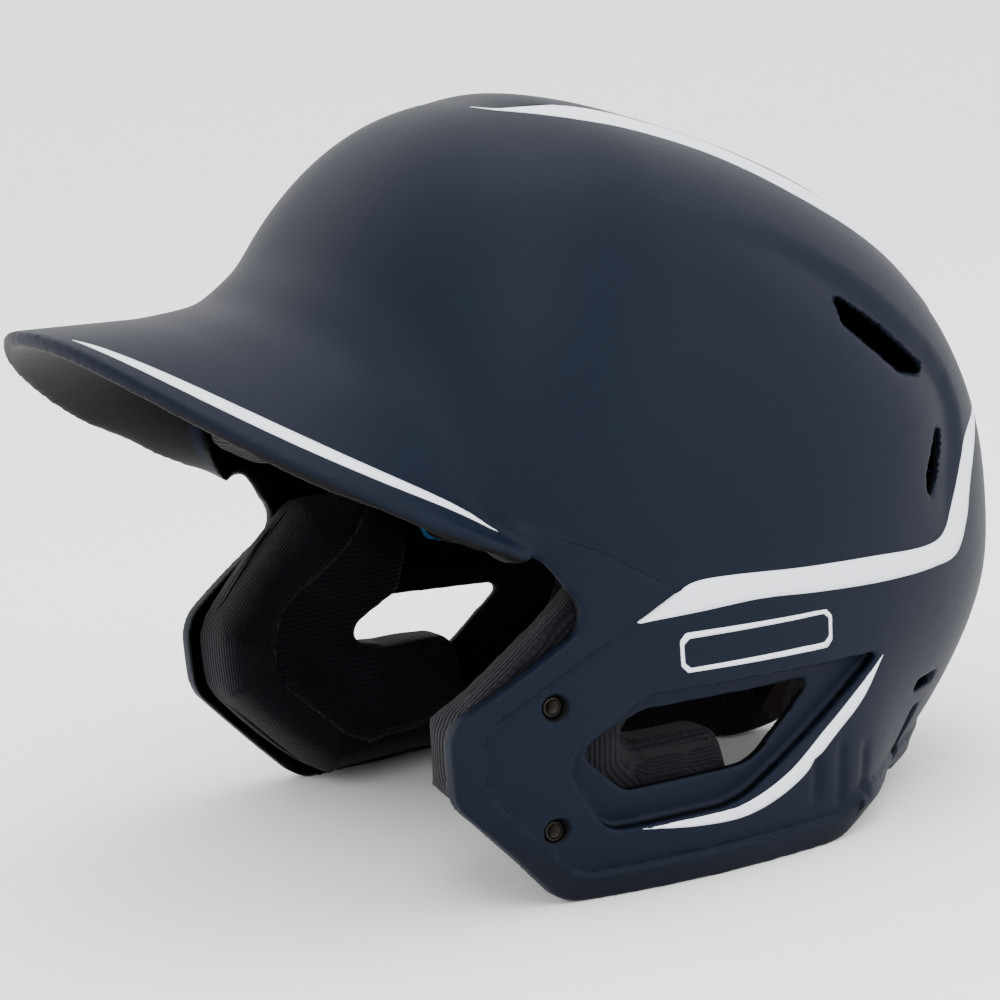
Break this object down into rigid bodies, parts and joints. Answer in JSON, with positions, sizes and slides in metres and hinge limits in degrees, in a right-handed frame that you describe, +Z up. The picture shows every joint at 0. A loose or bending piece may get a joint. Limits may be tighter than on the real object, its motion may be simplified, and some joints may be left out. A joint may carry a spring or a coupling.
{
  "type": "batting helmet",
  "caption": "Hard-shell batting helmet with a front bill, two ear flaps with ear openings, face-guard nuts and knit-covered padding.",
  "frame": {"origin": "on the surface the helmet stands on, under the middle of its length and width", "axes": "+Z up; the wearer looks along -Y, so the bill points to -Y; the wearer's left is +X"},
  "size_m": [0.2098, 0.2933, 0.2133],
  "materials": {
    "shell_paint": "matte navy moulded ABS",
    "nut_metal": "dull machined metal",
    "eva_base": "blue EVA foam sheet",
    "pad_foam": "dark open-cell foam",
    "knit_cover": "ribbed charcoal knit",
    "hook_tape": "black hook tape"
  },
  "bodies": {
    "root": {"shell": "shell_paint", "face_guard_nut_low_left": "nut_metal", "face_guard_nut_high_left": "nut_metal", "face_guard_nut_low_right": "nut_metal", "face_guard_nut_high_right": "nut_metal", "cheek_base_left": "eva_base", "cheek_base_right": "eva_base", "cheek_foam_left": "pad_foam", "cheek_foam_right": "pad_foam", "cheek_cover_left": "knit_cover", "cheek_cover_right": "knit_cover", "side_base_left": "eva_base", "side_base_right": "eva_base", "side_foam_left": "pad_foam", "side_foam_right": "pad_foam", "side_cover_left": "knit_cover", "side_cover_right": "knit_cover", "rear_base_left": "eva_base", "rear_base_right": "eva_base", "rear_foam_left": "pad_foam", "rear_foam_right": "pad_foam", "rear_cover_left": "knit_cover", "rear_cover_right": "knit_cover", "brow_base": "eva_base", "brow_foam": "pad_foam", "brow_cover": "knit_cover", "back_base": "eva_base", "back_foam": "pad_foam", "back_cover": "knit_cover", "nape_base": "eva_base", "nape_foam": "pad_foam", "crown_base": "eva_base", "crown_foam": "pad_foam", "crown_cover": "knit_cover", "hook_patches": "hook_tape"}
  },
  "joints": []
}
